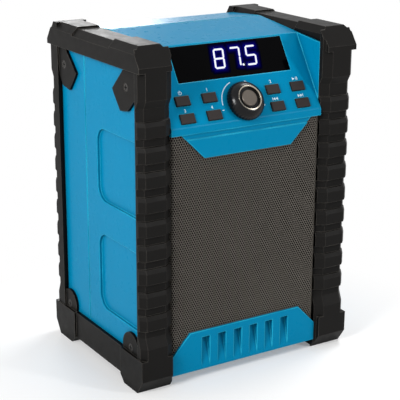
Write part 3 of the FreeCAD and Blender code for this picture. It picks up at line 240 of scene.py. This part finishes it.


# The housing's pale edges, at full share, are painted highlight
BLUE = surface("housing_blue", srgb(0, 129, 172), srgb(46, 192, 226), roughness=0.3, grain=2200.0,
               grain_depth=0.005, drift=0.04, wear_and_highlight_share=1.0, edge=0.0015, specular=0.04)
# The guards' pale edges are painted highlight, and their hollows take the full painted shade
BLACK = surface("guard_black", srgb(25, 24, 23), srgb(106, 102, 96), roughness=0.45, grain=1500.0,
                grain_depth=0.1, drift=0.12, wear_and_highlight_share=0.9, edge=0.0005, specular=0.06, hollow_shade=1.0)
GRILLE = surface("grille_metal", srgb(102, 97, 90), srgb(150, 144, 136), roughness=0.42, metallic=0.3,
                 grain=3000.0, drift=0.16, wear_and_highlight_share=0.3, edge=0.0002, specular=0.3)
# A near-black finish of painted shade, behind the grille and in the screw recesses
PAINTED_SHADE = surface("grille_painted_shade", srgb(9, 9, 9), roughness=0.9, grain=900.0, grain_depth=0.3, edge=0.0003,
                specular=0.05)
WINDOW = surface("window_gloss", srgb(2, 2, 3), roughness=0.1, grain=900.0, grain_depth=0.01, drift=0.0,
                 wear_and_highlight_share=0.0, edge=0.0006, specular=0.03)
KEY = surface("key_black", srgb(44, 39, 38), srgb(84, 77, 74), roughness=0.58, grain=2600.0, edge=0.0004,
              specular=0.15)
KNOB = surface("knob_black", srgb(8, 8, 10), srgb(48, 48, 50), roughness=0.22, grain=2500.0,
               grain_depth=0.02, edge=0.0004, specular=0.22)
KNOB_FACE = surface("knob_face", srgb(92, 85, 78), srgb(128, 120, 110), roughness=0.4, metallic=0.5,
                    grain=2500.0, edge=0.0004, specular=0.3)
RING = surface("knob_metal", srgb(168, 160, 146), srgb(214, 208, 196), roughness=0.28, metallic=1.0,
               grain=3000.0, drift=0.04, edge=0.0003)
STEEL = surface("screw_steel", srgb(64, 62, 60), srgb(120, 118, 114), roughness=0.42, metallic=0.7,
                grain=2800.0, edge=0.0003, specular=0.3)
NICKEL = surface("contact_metal", srgb(200, 198, 190), roughness=0.32, metallic=1.0, edge=0.0003)
CHROME = surface("antenna_chrome", srgb(190, 191, 194), roughness=0.2, metallic=1.0, grain_depth=0.01,
                 drift=0.02, edge=0.0003)
BOARD = surface("board_green", srgb(18, 92, 48), srgb(60, 130, 80), roughness=0.45, edge=0.0003,
                specular=0.2)
CONE = surface("cone_paper", srgb(30, 30, 31), roughness=0.75, grain=700.0, grain_depth=0.3, edge=0.0004,
               specular=0.15)
FERRITE = surface("ferrite", srgb(52, 52, 54), srgb(90, 90, 92), roughness=0.6, edge=0.0006, specular=0.2)
COPPER = surface("copper_coil", srgb(180, 110, 60), roughness=0.35, metallic=0.9, grain=600.0, edge=0.0002)
SOCKET = surface("socket_black", srgb(20, 20, 21), srgb(50, 50, 50), roughness=0.35, edge=0.0004,
                 specular=0.2)
RUBBER = surface("flap_rubber", srgb(34, 33, 33), srgb(64, 62, 61), roughness=0.7, grain=1400.0,
                 grain_depth=0.2, edge=0.0007, specular=0.15)
PRINT = surface("print_white", srgb(214, 232, 240), roughness=0.5, grain_depth=0.0, drift=0.0, wear_and_highlight_share=0.0,
                edge=0.0001, specular=0.1)
DIGIT = lit("digit_glow", srgb(244, 247, 255), 1.1)
HALO_SHADES = ((9, 8, 118), (5, 4, 84), (3, 2, 54), (1, 1, 28))
HALOS = [lit("digit_halo_%d" % (i + 1), srgb(*shade), 1.0) for i, shade in enumerate(HALO_SHADES)]

FINISH = {
    "front_housing": BLUE, "rear_housing": BLUE, "battery_door": BLUE,
    "guard_left": BLACK, "guard_right": BLACK, "guard_screws": STEEL, "housing_screws": STEEL,
    "speaker_grille": GRILLE, "woofer_basket": FERRITE, "woofer_cone": CONE, "dust_cap": CONE,
    "voice_coil": COPPER, "woofer_magnet": FERRITE, "display_window": WINDOW, "display_module": SOCKET,
    "keypad_mat": RUBBER, "control_board": BOARD, "amplifier_board": BOARD, "rotary_encoder": NICKEL,
    "encoder_shaft": NICKEL, "volume_knob": KNOB, "knob_ring": RING, "knob_cap": KNOB_FACE,
    "hinge_pin": NICKEL, "battery_contacts": NICKEL, "socket_plate": SOCKET, "power_socket": SOCKET,
    "audio_socket": SOCKET, "socket_flap": RUBBER, "flap_anchor": RUBBER, "antenna_swivel": SOCKET,
    "antenna_lower": CHROME, "antenna_middle": CHROME, "antenna_tip": CHROME,
    "power_button": KEY, "source_button": KEY, "pairing_button": KEY, "play_button": KEY,
    "preset_button": KEY, "scan_button": KEY, "back_button": KEY, "next_button": KEY,
}
for name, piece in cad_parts.items():
    piece.data.materials.clear()
    piece.data.materials.append(FINISH[name])


# Mesh helpers
def new_object(name, data):
    """An object in the scene that shows a mesh, a text, a lamp or a camera."""
    made = bpy.data.objects.new(name, data)
    bpy.context.scene.collection.objects.link(made)
    return made


def mesh_piece(name, corners, faces, material, body="root", smooth=False):
    """A mesh of the given faces, with only the corners that they use, riding on a body."""
    used = sorted({index for face in faces for index in face})
    place = {index: order for order, index in enumerate(used)}
    mesh = bpy.data.meshes.new(name)
    mesh.from_pydata([tuple(corners[index]) for index in used], [],
                     [[place[index] for index in face] for face in faces])
    mesh.materials.append(material)
    for polygon in mesh.polygons:
        polygon.use_smooth = smooth
    piece = new_object(name, mesh)
    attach(piece, body)
    return piece


class Slabs:
    """Thin shapes of one finish between two heights over the control panel, gathered into one mesh."""

    def __init__(self, low, high):
        self.low = low
        self.high = high
        self.corners = []
        self.faces = []

    def add(self, outline):
        """A closed outline of (across, up) points, counter-clockwise."""
        start = len(self.corners)
        count = len(outline)
        self.corners += [on_panel(x, up, self.low) for x, up in outline]
        self.corners += [on_panel(x, up, self.high) for x, up in outline]
        self.faces.append([start + count + i for i in range(count)])
        self.faces.append([start + i for i in reversed(range(count))])
        for i in range(count):
            after = (i + 1) % count
            self.faces.append([start + i, start + after, start + count + after, start + count + i])

    def bar(self, left, right, bottom, top):
        """An upright rectangle."""
        self.add([(left, bottom), (right, bottom), (right, top), (left, top)])

    def arc(self, centre, radius, thick, first, last, steps=40):
        """A band along part of a circle, its angles in degrees from across, counter-clockwise."""
        inner = radius - thick / 2
        outer = radius + thick / 2
        for i in range(steps):
            a = math.radians(first + (last - first) * i / steps)
            b = math.radians(first + (last - first) * (i + 1) / steps)
            self.add([(centre[0] + r * math.cos(t), centre[1] + r * math.sin(t))
                      for r, t in ((inner, a), (outer, a), (outer, b), (inner, b))])

    def dot(self, centre, radius, steps=20):
        """A filled circle."""
        turns = [math.tau * i / steps for i in range(steps)]
        self.add([(centre[0] + radius * math.cos(t), centre[1] + radius * math.sin(t)) for t in turns])

    def piece(self, name, material):
        """The gathered shapes as one piece of the root body."""
        return mesh_piece(name, self.corners, self.faces, material)


# Display figures: seven strokes to a digit, from corner to corner of a grid one wide and two tall
STROKES = {"a": ((0, 2), (1, 2)), "b": ((1, 2), (1, 1)), "c": ((1, 1), (1, 0)), "d": ((1, 0), (0, 0)),
           "e": ((0, 0), (0, 1)), "f": ((0, 1), (0, 2)), "g": ((0, 1), (1, 1))}
FIGURES = {"8": "abcdefg", "7": "abc", "5": "afgcd"}
FIGURE_PLACES = (("8", -15.7 * MM), ("7", -0.7 * MM), ("5", 14.2 * MM))
DIGIT_WIDE = 8.3 * MM
DIGIT_TALL = 15.3 * MM
DIGIT_SLANT = 0.17
DIGIT_BASE = 44.3 * MM
STROKE_THICK = 1.5 * MM
STROKE_POINT = 0.45
POINT_PLACE = (10.2 * MM, 44.8 * MM)
POINT_RADIUS = 0.95 * MM
GLOW_LOW = 0.04 * MM
GLOW_HIGH = 0.08 * MM
# Each layer of halo is wider and a little lower than the one before
HALO_SPREAD = 0.8 * MM
HALO_SPREAD_STEP = 1.1 * MM
HALO_HIGH = 0.03 * MM
HALO_HIGH_STEP = 0.006 * MM


def stroke_outline(start, end, spare):
    """A bar with pointed ends, as the light guides of such figures have, grown on all sides by a spare."""
    step = (Vector(end) - Vector(start)).normalized()
    side = Vector((-step.y, step.x)) * (STROKE_THICK / 2 + spare)
    a = Vector(start) - step * spare
    b = Vector(end) + step * spare
    point = step * STROKE_THICK * STROKE_POINT
    return [a - side + point, b - side - point, b, b + side - point, a + side + point, a]


def digit_corner(left, x, y):
    """A corner of a slanting digit whose foot starts at the left."""
    up = y * DIGIT_TALL / 2
    return left + x * DIGIT_WIDE + up * DIGIT_SLANT, DIGIT_BASE + up


def build_figures():
    """The lit figures and the layers of dimmer light round them."""
    glow = Slabs(GLOW_LOW, GLOW_HIGH)
    halos = [Slabs(0, HALO_HIGH - HALO_HIGH_STEP * i) for i in range(len(HALOS))]
    for figure, left in FIGURE_PLACES:
        for label in FIGURES[figure]:
            start, end = (digit_corner(left, x, y) for x, y in STROKES[label])
            glow.add(stroke_outline(start, end, 0))
            for i, halo in enumerate(halos):
                halo.add(stroke_outline(start, end, HALO_SPREAD + HALO_SPREAD_STEP * i))
    glow.dot(POINT_PLACE, POINT_RADIUS)
    glow.piece("display_figures", DIGIT)
    for i, halo in enumerate(halos):
        halo.piece("display_halo_%d" % (i + 1), HALOS[i])


build_figures()


# Printed marks: an arc scale round the knob, and plain signs and numbers over the keys
KNOB_AT = (0.0, 14.2 * MM)
SCALE_AT = (-0.9 * MM, 13.9 * MM)
SCALE_RADIUS = 18.7 * MM
SCALE_THICK = 0.6 * MM
PRINT_LOW = -0.02 * MM
PRINT_HIGH = 0.04 * MM
KEY_OUTER = 53.8 * MM
KEY_INNER = 29.7 * MM
# Middles of the marks over the upper and the lower row of keys
MARK_HIGH = 28 * MM
MARK_LOW = 13.4 * MM
MARK_HALF = 1.3 * MM
MARK_THIN = 0.5 * MM
NUMBER_SIZE = 3.6 * MM
NUMBER_RISE = 0.03 * MM
NUMBER_BOLD = 0.06 * MM
NUMBER_OVER = 0.01 * MM


def text_piece(name, words, across, up):
    """A printed number, its middle at a place of the panel."""
    curve = bpy.data.curves.new(name, "FONT")
    curve.body = words
    curve.size = NUMBER_SIZE
    curve.align_x = "CENTER"
    curve.align_y = "CENTER"
    curve.extrude = NUMBER_RISE
    curve.offset = NUMBER_BOLD
    curve.materials.append(PRINT)
    piece = new_object(name, curve)
    turn = Matrix((Vector((1, 0, 0)), UP_SLOPE, OUTWARD)).transposed().to_4x4()
    piece.matrix_world = Matrix.Translation(on_panel(across, up, NUMBER_OVER)) @ turn
    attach(piece, "root")


def print_scale(ink):
    """The arc scale: a long band, a short band, a minus bar and two dots."""
    ink.arc(SCALE_AT, SCALE_RADIUS, SCALE_THICK, 110, 180)
    ink.arc(SCALE_AT, SCALE_RADIUS, SCALE_THICK, 44, 69)
    ink.bar(-21.6 * MM, -19.6 * MM, 9.6 * MM, 10.2 * MM)
    ink.dot((17.2 * MM, 14.4 * MM), 0.75 * MM)
    ink.dot((17.6 * MM, 9.8 * MM), 0.85 * MM)


def print_standby(ink, across, up):
    """A ring that is open at the top, with a bar through the gap."""
    ink.arc((across, up), 1.35 * MM, MARK_THIN, 120, 420, 20)
    ink.bar(across - MARK_THIN / 2, across + MARK_THIN / 2, up, up + 2 * MM)


def print_play_pause(ink, across, up):
    """A wedge with two bars beside it."""
    back = across - 2.6 * MM
    ink.add([(back, up - MARK_HALF), (across - 0.3 * MM, up), (back, up + MARK_HALF)])
    for left in (across + 0.6 * MM, across + 1.7 * MM):
        ink.bar(left, left + 0.6 * MM, up - MARK_HALF, up + MARK_HALF)


def print_step(ink, across, up, way):
    """Two wedges and a bar that point to the left (way -1) or to the right (way 1)."""
    for shift in (-1.2 * MM, 1.2 * MM):
        tip = across + way * (shift + 1.1 * MM)
        root = across + way * (shift - 1.1 * MM)
        wedge = [(root, up - MARK_HALF), (tip, up), (root, up + MARK_HALF)]
        ink.add(wedge if way > 0 else wedge[::-1])
    bar = across + way * 2.7 * MM
    ink.bar(bar - MARK_THIN / 2, bar + MARK_THIN / 2, up - MARK_HALF, up + MARK_HALF)


def build_print():
    """All the ink on the control panel."""
    ink = Slabs(PRINT_LOW, PRINT_HIGH)
    print_scale(ink)
    print_standby(ink, -KEY_OUTER, MARK_HIGH)
    print_play_pause(ink, KEY_OUTER, MARK_HIGH)
    print_step(ink, KEY_INNER, MARK_LOW, -1)
    print_step(ink, KEY_OUTER, MARK_LOW, 1)
    ink.piece("panel_print", PRINT)
    text_piece("mark_source", "1", -KEY_INNER, MARK_HIGH)
    text_piece("mark_pairing", "2", KEY_INNER, MARK_HIGH)
    text_piece("mark_preset", "3", -KEY_OUTER, MARK_LOW)
    text_piece("mark_scan", "4", -KEY_INNER, MARK_LOW)


build_print()


# Volume knob: a turned, bulging body with fine flutes round its skirt, hollow where the ring sits.
# Its profile is a ring of (radius, height over the panel) points, in millimetres as its flutes are
KNOB_PROFILE = [(15.4, 0.65), (15.9, 1.4), (16.0, 2.6), (15.7, 4.2), (15.0, 5.8), (13.9, 7.3), (12.6, 8.5),
                (11.4, 9.3), (10.6, 9.7), (10.3, 9.7), (10.22, 9.4), (10.22, 7.98), (3.05, 7.98),
                (3.05, 0.65)]
KNOB_FLUTES = 36
FLUTE_STEPS = 6
FLUTE_DEPTH = 0.55
# Flutes are full to FLUTE_FADE below FLUTE_TOP, fade out up to it, and leave the bore alone
FLUTE_TOP = 6.6
FLUTE_FADE = 2.4
FLUTE_INNER = 12.0
KNOB_SHARP = math.radians(40)


def flute_depth(radius, height):
    """How deep the flutes are at a point of the knob's profile."""
    if radius <= FLUTE_INNER:
        return 0.0
    return FLUTE_DEPTH * max(0.0, min(1.0, (FLUTE_TOP - height) / FLUTE_FADE))


def build_knob():
    """The knob's body, turned from its profile, in the place of the plainer volume knob."""
    turns = KNOB_FLUTES * FLUTE_STEPS
    corners, faces = [], []
    for radius, height in KNOB_PROFILE:
        for i in range(turns):
            inward = flute_depth(radius, height) * max(0.0, math.cos(math.tau * i / FLUTE_STEPS)) ** 2
            reach = (radius - inward) * MM
            angle = math.tau * i / turns
            corners.append(on_panel(KNOB_AT[0] + reach * math.cos(angle),
                                    KNOB_AT[1] + reach * math.sin(angle), height * MM))
    rings = len(KNOB_PROFILE)
    for ring in range(rings):
        after = (ring + 1) % rings
        for i in range(turns):
            beside = (i + 1) % turns
            faces.append([ring * turns + i, ring * turns + beside, after * turns + beside,
                          after * turns + i])
    knob = mesh_piece("knob_body", corners, faces, KNOB, "knob", smooth=True)
    knob.data.set_sharp_from_angle(angle=KNOB_SHARP)
    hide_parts("volume_knob")


build_knob()


# Perforated grille: a hexagonal net of round holes, bent back along both sides
GRILLE_LOW, GRILLE_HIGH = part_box("speaker_grille")
FACE_HALF = GRILLE_HIGH.x
HOLE_PITCH = 2.15 * MM
HOLE_RADIUS = 0.93 * MM
HEXAGON_RADIUS = HOLE_PITCH / math.sqrt(3)
SHEET = 0.8 * MM
BEND = 3.6 * MM
# Depth of the dark backing behind the grille, painted shade for the inside of the housing, in thicknesses of
# the sheet
SHADE_BACKING_DEPTH = 1.6
# How far the net runs on under the housing's edges, and how far back it goes past its bends
NET_MARGIN = 1.4 * MM
NET_BACK = 2 * MM

# The opening in the housing: a trim below that falls away at both ends, and an apron above that
# hangs down in the middle
TRIM_HEIGHT = 41.6 * MM
TRIM_HALF = 53 * MM
TRIM_FALL = 17.6 / 15.5
APRON_HEIGHT = 204.6 * MM
APRON_LOWEST = 184.5 * MM
APRON_HALF = 61 * MM
APRON_FALL = 20.1 / 20.5


def inside_outline(x, z, margin):
    """Whether a point lies in the grille's opening, grown by a margin that the housing hides."""
    trim = TRIM_HEIGHT - max(0.0, abs(x) - TRIM_HALF) * TRIM_FALL
    apron = max(APRON_LOWEST, APRON_HEIGHT - max(0.0, APRON_HALF - abs(x)) * APRON_FALL)
    return trim - margin < z < apron + margin


def bent(across, depth):
    """Plan of the sheet: flat, then round a bend, then straight back. Depth is into the sheet."""
    flat = FACE_HALF - BEND
    side = 1 if across > 0 else -1
    beyond = abs(across) - flat
    if beyond <= 0:
        return across, GRILLE_LOW.y + depth
    angle = min(beyond / BEND, math.pi / 2)
    back = max(0.0, beyond - BEND * math.pi / 2)
    radius = BEND - depth
    return (side * (flat + radius * math.sin(angle)),
            GRILLE_LOW.y + BEND - radius * math.cos(angle) + back)


def circle_points(u, z, radius, count):
    """Points round a middle, counter-clockwise from 30 degrees."""
    angles = [math.radians(30 + 360 * i / count) for i in range(count)]
    return [(u + radius * math.cos(angle), z + radius * math.sin(angle)) for angle in angles]


def cell_rim(u, z):
    """The corners of a cell's hexagon with the middles of its sides between them."""
    hexagon = circle_points(u, z, HEXAGON_RADIUS, 6)
    rim = []
    for first, second in zip(hexagon, hexagon[1:] + hexagon[:1]):
        rim += [first, ((first[0] + second[0]) / 2, (first[1] + second[1]) / 2)]
    return rim


def net_cells():
    """Middles of the net's holes, along the unrolled sheet and up it."""
    reach = FACE_HALF - BEND + BEND * math.pi / 2 + NET_BACK
    row_step = HOLE_PITCH * math.sqrt(3) / 2
    rows = int((GRILLE_HIGH.z - GRILLE_LOW.z) / row_step) + 3
    columns = int(reach / HOLE_PITCH) + 1
    for row in range(rows):
        z = GRILLE_LOW.z - row_step + row * row_step
        for column in range(-columns, columns + 1):
            u = (column + 0.5 * (row % 2)) * HOLE_PITCH
            if abs(u) <= reach and inside_outline(bent(u, 0)[0], z, NET_MARGIN):
                yield u, z


def build_grille():
    """The sheet's face and the walls of its holes, and a dark backing of painted shade behind them."""
    corners, faces, shade_backing, known = [], [], [], {}

    def point(u, z, depth):
        key = (round(u * 1e6), round(z * 1e6), depth)
        if key not in known:
            known[key] = len(corners)
            corners.append((*bent(u, SHEET * depth), z))
        return known[key]

    for u, z in net_cells():
        rim = cell_rim(u, z)
        hole = circle_points(u, z, HOLE_RADIUS, len(rim))
        shade_backing.append([point(*corner, SHADE_BACKING_DEPTH) for corner in rim])
        for i in range(len(rim)):
            after = (i + 1) % len(rim)
            faces.append([point(*rim[i], 0), point(*rim[after], 0), point(*hole[after], 0),
                          point(*hole[i], 0)])
            faces.append([point(*hole[i], 0), point(*hole[after], 0), point(*hole[after], 1),
                          point(*hole[i], 1)])
    grille = mesh_piece("grille_mesh", corners, faces, GRILLE)
    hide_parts("speaker_grille")
    mesh_piece("grille_painted_shade", corners, shade_backing, PAINTED_SHADE)


build_grille()


# Cross recesses in the screw heads, drawn as painted shade: each a dark bar and another across it, from just
# inside the head to just over it
HEAD_SPAN = 8 * MM
FACE_SPARE = 0.05 * MM
CROSS_LONG = 1.9 * MM
CROSS_SHORT = 0.42 * MM
CROSS_INSIDE = -0.1 * MM
CROSS_OVER = 0.03 * MM


def head_centres(name, axis, side):
    """Centres of the head faces that lie furthest out along an axis, to one side."""
    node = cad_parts[name]
    corners = [node.matrix_world @ vertex.co for vertex in node.data.vertices]
    face = max(corner[axis] * side for corner in corners)
    groups = []
    for corner in corners:
        if abs(corner[axis] * side - face) > FACE_SPARE:
            continue
        near = [group for group in groups if (group[0] - corner).length < HEAD_SPAN]
        if near:
            near[0].append(corner)
        else:
            groups.append([corner])
    return [Vector([(min(c[i] for c in group) + max(c[i] for c in group)) / 2 for i in range(3)])
            for group in groups]


def build_recess_shade(name, places):
    """Thin dark crosses of painted shade; each place is a centre, the head's axis and the side it faces."""
    corners, faces = [], []
    for centre, axis, side in places:
        first, second = [i for i in range(3) if i != axis]
        for along, across in ((CROSS_LONG, CROSS_SHORT), (CROSS_SHORT, CROSS_LONG)):
            start = len(corners)
            for depth in (CROSS_INSIDE, CROSS_OVER):
                for u, v in ((-along, -across), (along, -across), (along, across), (-along, across)):
                    corner = centre.copy()
                    corner[axis] += side * depth
                    corner[first] += u
                    corner[second] += v
                    corners.append(corner)
            faces += [[start + i for i in (4, 5, 6, 7)], [start + i for i in (3, 2, 1, 0)]]
            faces += [[start + i, start + (i + 1) % 4, start + 4 + (i + 1) % 4, start + 4 + i]
                      for i in range(4)]
    mesh_piece(name, corners, faces, PAINTED_SHADE)


build_recess_shade("guard_screw_recess_shade", [(centre, 0, side) for side in (-1, 1)
                                       for centre in head_centres("guard_screws", 0, side)])
build_recess_shade("housing_screw_recess_shade", [(centre, 1, 1) for centre in head_centres("housing_screws", 1, 1)])


# Floor and surroundings
FLOOR_HALF = 3.0
FLOOR_GREY = (0.82, 0.82, 0.82, 1)
FLOOR_LIFT = 0.22
# Distances from the object's middle at which the floor begins to fade to white and is white
SHADOW_NEAR = 0.11
SHADOW_FAR = 0.23
SURROUNDINGS = 0.27
WHITE = (1, 1, 1, 1)


def seen_directly(tree):
    """One where the camera looks, also by a mirror or through glass, and zero for scattered light."""
    path = add(tree, "ShaderNodeLightPath")
    bounced = maths(tree, "MAXIMUM", path.outputs["Is Glossy Ray"], path.outputs["Is Transmission Ray"])
    return maths(tree, "MAXIMUM", path.outputs["Is Camera Ray"], bounced)


def chosen(tree, share, first, second):
    """One shader that goes over into another by a share."""
    choice = add(tree, "ShaderNodeMixShader")
    tree.links.new(share, choice.inputs[0])
    tree.links.new(first, choice.inputs[1])
    tree.links.new(second, choice.inputs[2])
    return choice.outputs[0]


def floor_material():
    """A pale floor to light, and near the object to the camera too, so that its shadow shows."""
    material = bpy.data.materials.new("floor_white")
    material.use_nodes = True
    tree = material.node_tree
    pale = tree.nodes["Principled BSDF"]
    pale.inputs["Base Color"].default_value = FLOOR_GREY
    pale.inputs["Roughness"].default_value = 0.9
    pale.inputs["Specular IOR Level"].default_value = 0.0
    lift = add(tree, "ShaderNodeEmission")
    lift.inputs["Strength"].default_value = FLOOR_LIFT
    lifted = add(tree, "ShaderNodeAddShader")
    tree.links.new(pale.outputs[0], lifted.inputs[0])
    tree.links.new(lift.outputs[0], lifted.inputs[1])
    white = add(tree, "ShaderNodeEmission")
    white.inputs["Strength"].default_value = 1.0
    place = add(tree, "ShaderNodeTexCoord")
    reach = add(tree, "ShaderNodeVectorMath", operation="LENGTH")
    tree.links.new(place.outputs["Object"], reach.inputs[0])
    far = ranged(tree, reach.outputs["Value"], SHADOW_NEAR, SHADOW_FAR, 0.0, 1.0)
    near_or_far = chosen(tree, far, lifted.outputs[0], white.outputs[0])
    shown = chosen(tree, seen_directly(tree), pale.outputs[0], near_or_far)
    tree.links.new(shown, tree.nodes["Material Output"].inputs["Surface"])
    return material


def build_floor():
    """A wide floor under the object."""
    mesh = bpy.data.meshes.new("floor")
    mesh.from_pydata([(-FLOOR_HALF, -FLOOR_HALF, 0), (FLOOR_HALF, -FLOOR_HALF, 0),
                      (FLOOR_HALF, FLOOR_HALF, 0), (-FLOOR_HALF, FLOOR_HALF, 0)], [], [(0, 1, 2, 3)])
    mesh.materials.append(floor_material())
    new_object("floor", mesh)


def build_world():
    """White surroundings to the camera, and much dimmer ones as a light."""
    world = bpy.data.worlds.new("studio")
    bpy.context.scene.world = world
    world.use_nodes = True
    tree = world.node_tree
    lighting = tree.nodes["Background"]
    lighting.inputs["Color"].default_value = WHITE
    lighting.inputs["Strength"].default_value = SURROUNDINGS
    seen = add(tree, "ShaderNodeBackground")
    seen.inputs["Color"].default_value = WHITE
    seen.inputs["Strength"].default_value = 1.0
    shown = chosen(tree, seen_directly(tree), lighting.outputs[0], seen.outputs[0])
    tree.links.new(shown, tree.nodes["World Output"].inputs["Surface"])


# Lamps: name, place, what it aims at, breadth in metres and power in watts
LAMPS = (
    ("key_light", (0.9, -1.45, 0.78), (0, 0, 0.15), 0.2, 9),
    ("side_light", (-1.6, -0.6, 1.0), (0, 0, 0.15), 0.6, 28),
    ("top_light", (0.95, 0.28, 1.75), (0, 0, 0.15), 0.8, 17),
    ("back_light", (0.6, 1.7, 0.5), (0, 0, 0.12), 0.6, 9),
)


def area_light(name, place, target, breadth, power):
    """A round lamp that aims at a target."""
    light = bpy.data.lights.new(name, "AREA")
    light.shape = "DISK"
    light.size = breadth
    light.energy = power
    lamp = new_object(name, light)
    lamp.location = place
    lamp.rotation_euler = (Vector(target) - Vector(place)).to_track_quat("-Z", "Y").to_euler()


# Camera: angles in degrees, focal length and frame in pixels, the rest in metres and millimetres
CAMERA_AZIMUTH = -32.08
CAMERA_ELEVATION = 17.495
CAMERA_ROLL = 0.243
CAMERA_TARGET = Vector((-0.01001, -0.01592, 0.131))
CAMERA_DISTANCE = 0.99046
FOCAL_PIXELS = 1195.8
FRAME_PIXELS = 400.0
SENSOR_WIDTH = 36.0


def build_camera():
    """The camera, fitted to the object's edges."""
    azimuth = math.radians(CAMERA_AZIMUTH)
    elevation = math.radians(CAMERA_ELEVATION)
    back = Vector((math.sin(azimuth) * math.cos(elevation), -math.cos(azimuth) * math.cos(elevation),
                   math.sin(elevation)))
    data = bpy.data.cameras.new("camera")
    data.sensor_width = SENSOR_WIDTH
    data.lens = FOCAL_PIXELS / FRAME_PIXELS * SENSOR_WIDTH
    camera = new_object("camera", data)
    camera.location = CAMERA_TARGET + back * CAMERA_DISTANCE
    level = (-back).to_track_quat("-Z", "Y").to_matrix().to_4x4()
    turn = level @ Matrix.Rotation(math.radians(CAMERA_ROLL), 4, "Z")
    camera.rotation_euler = turn.to_euler()
    bpy.context.scene.camera = camera


build_floor()
build_world()
for lamp in LAMPS:
    area_light(*lamp)
build_camera()
bpy.context.scene.view_settings.view_transform = "Standard"
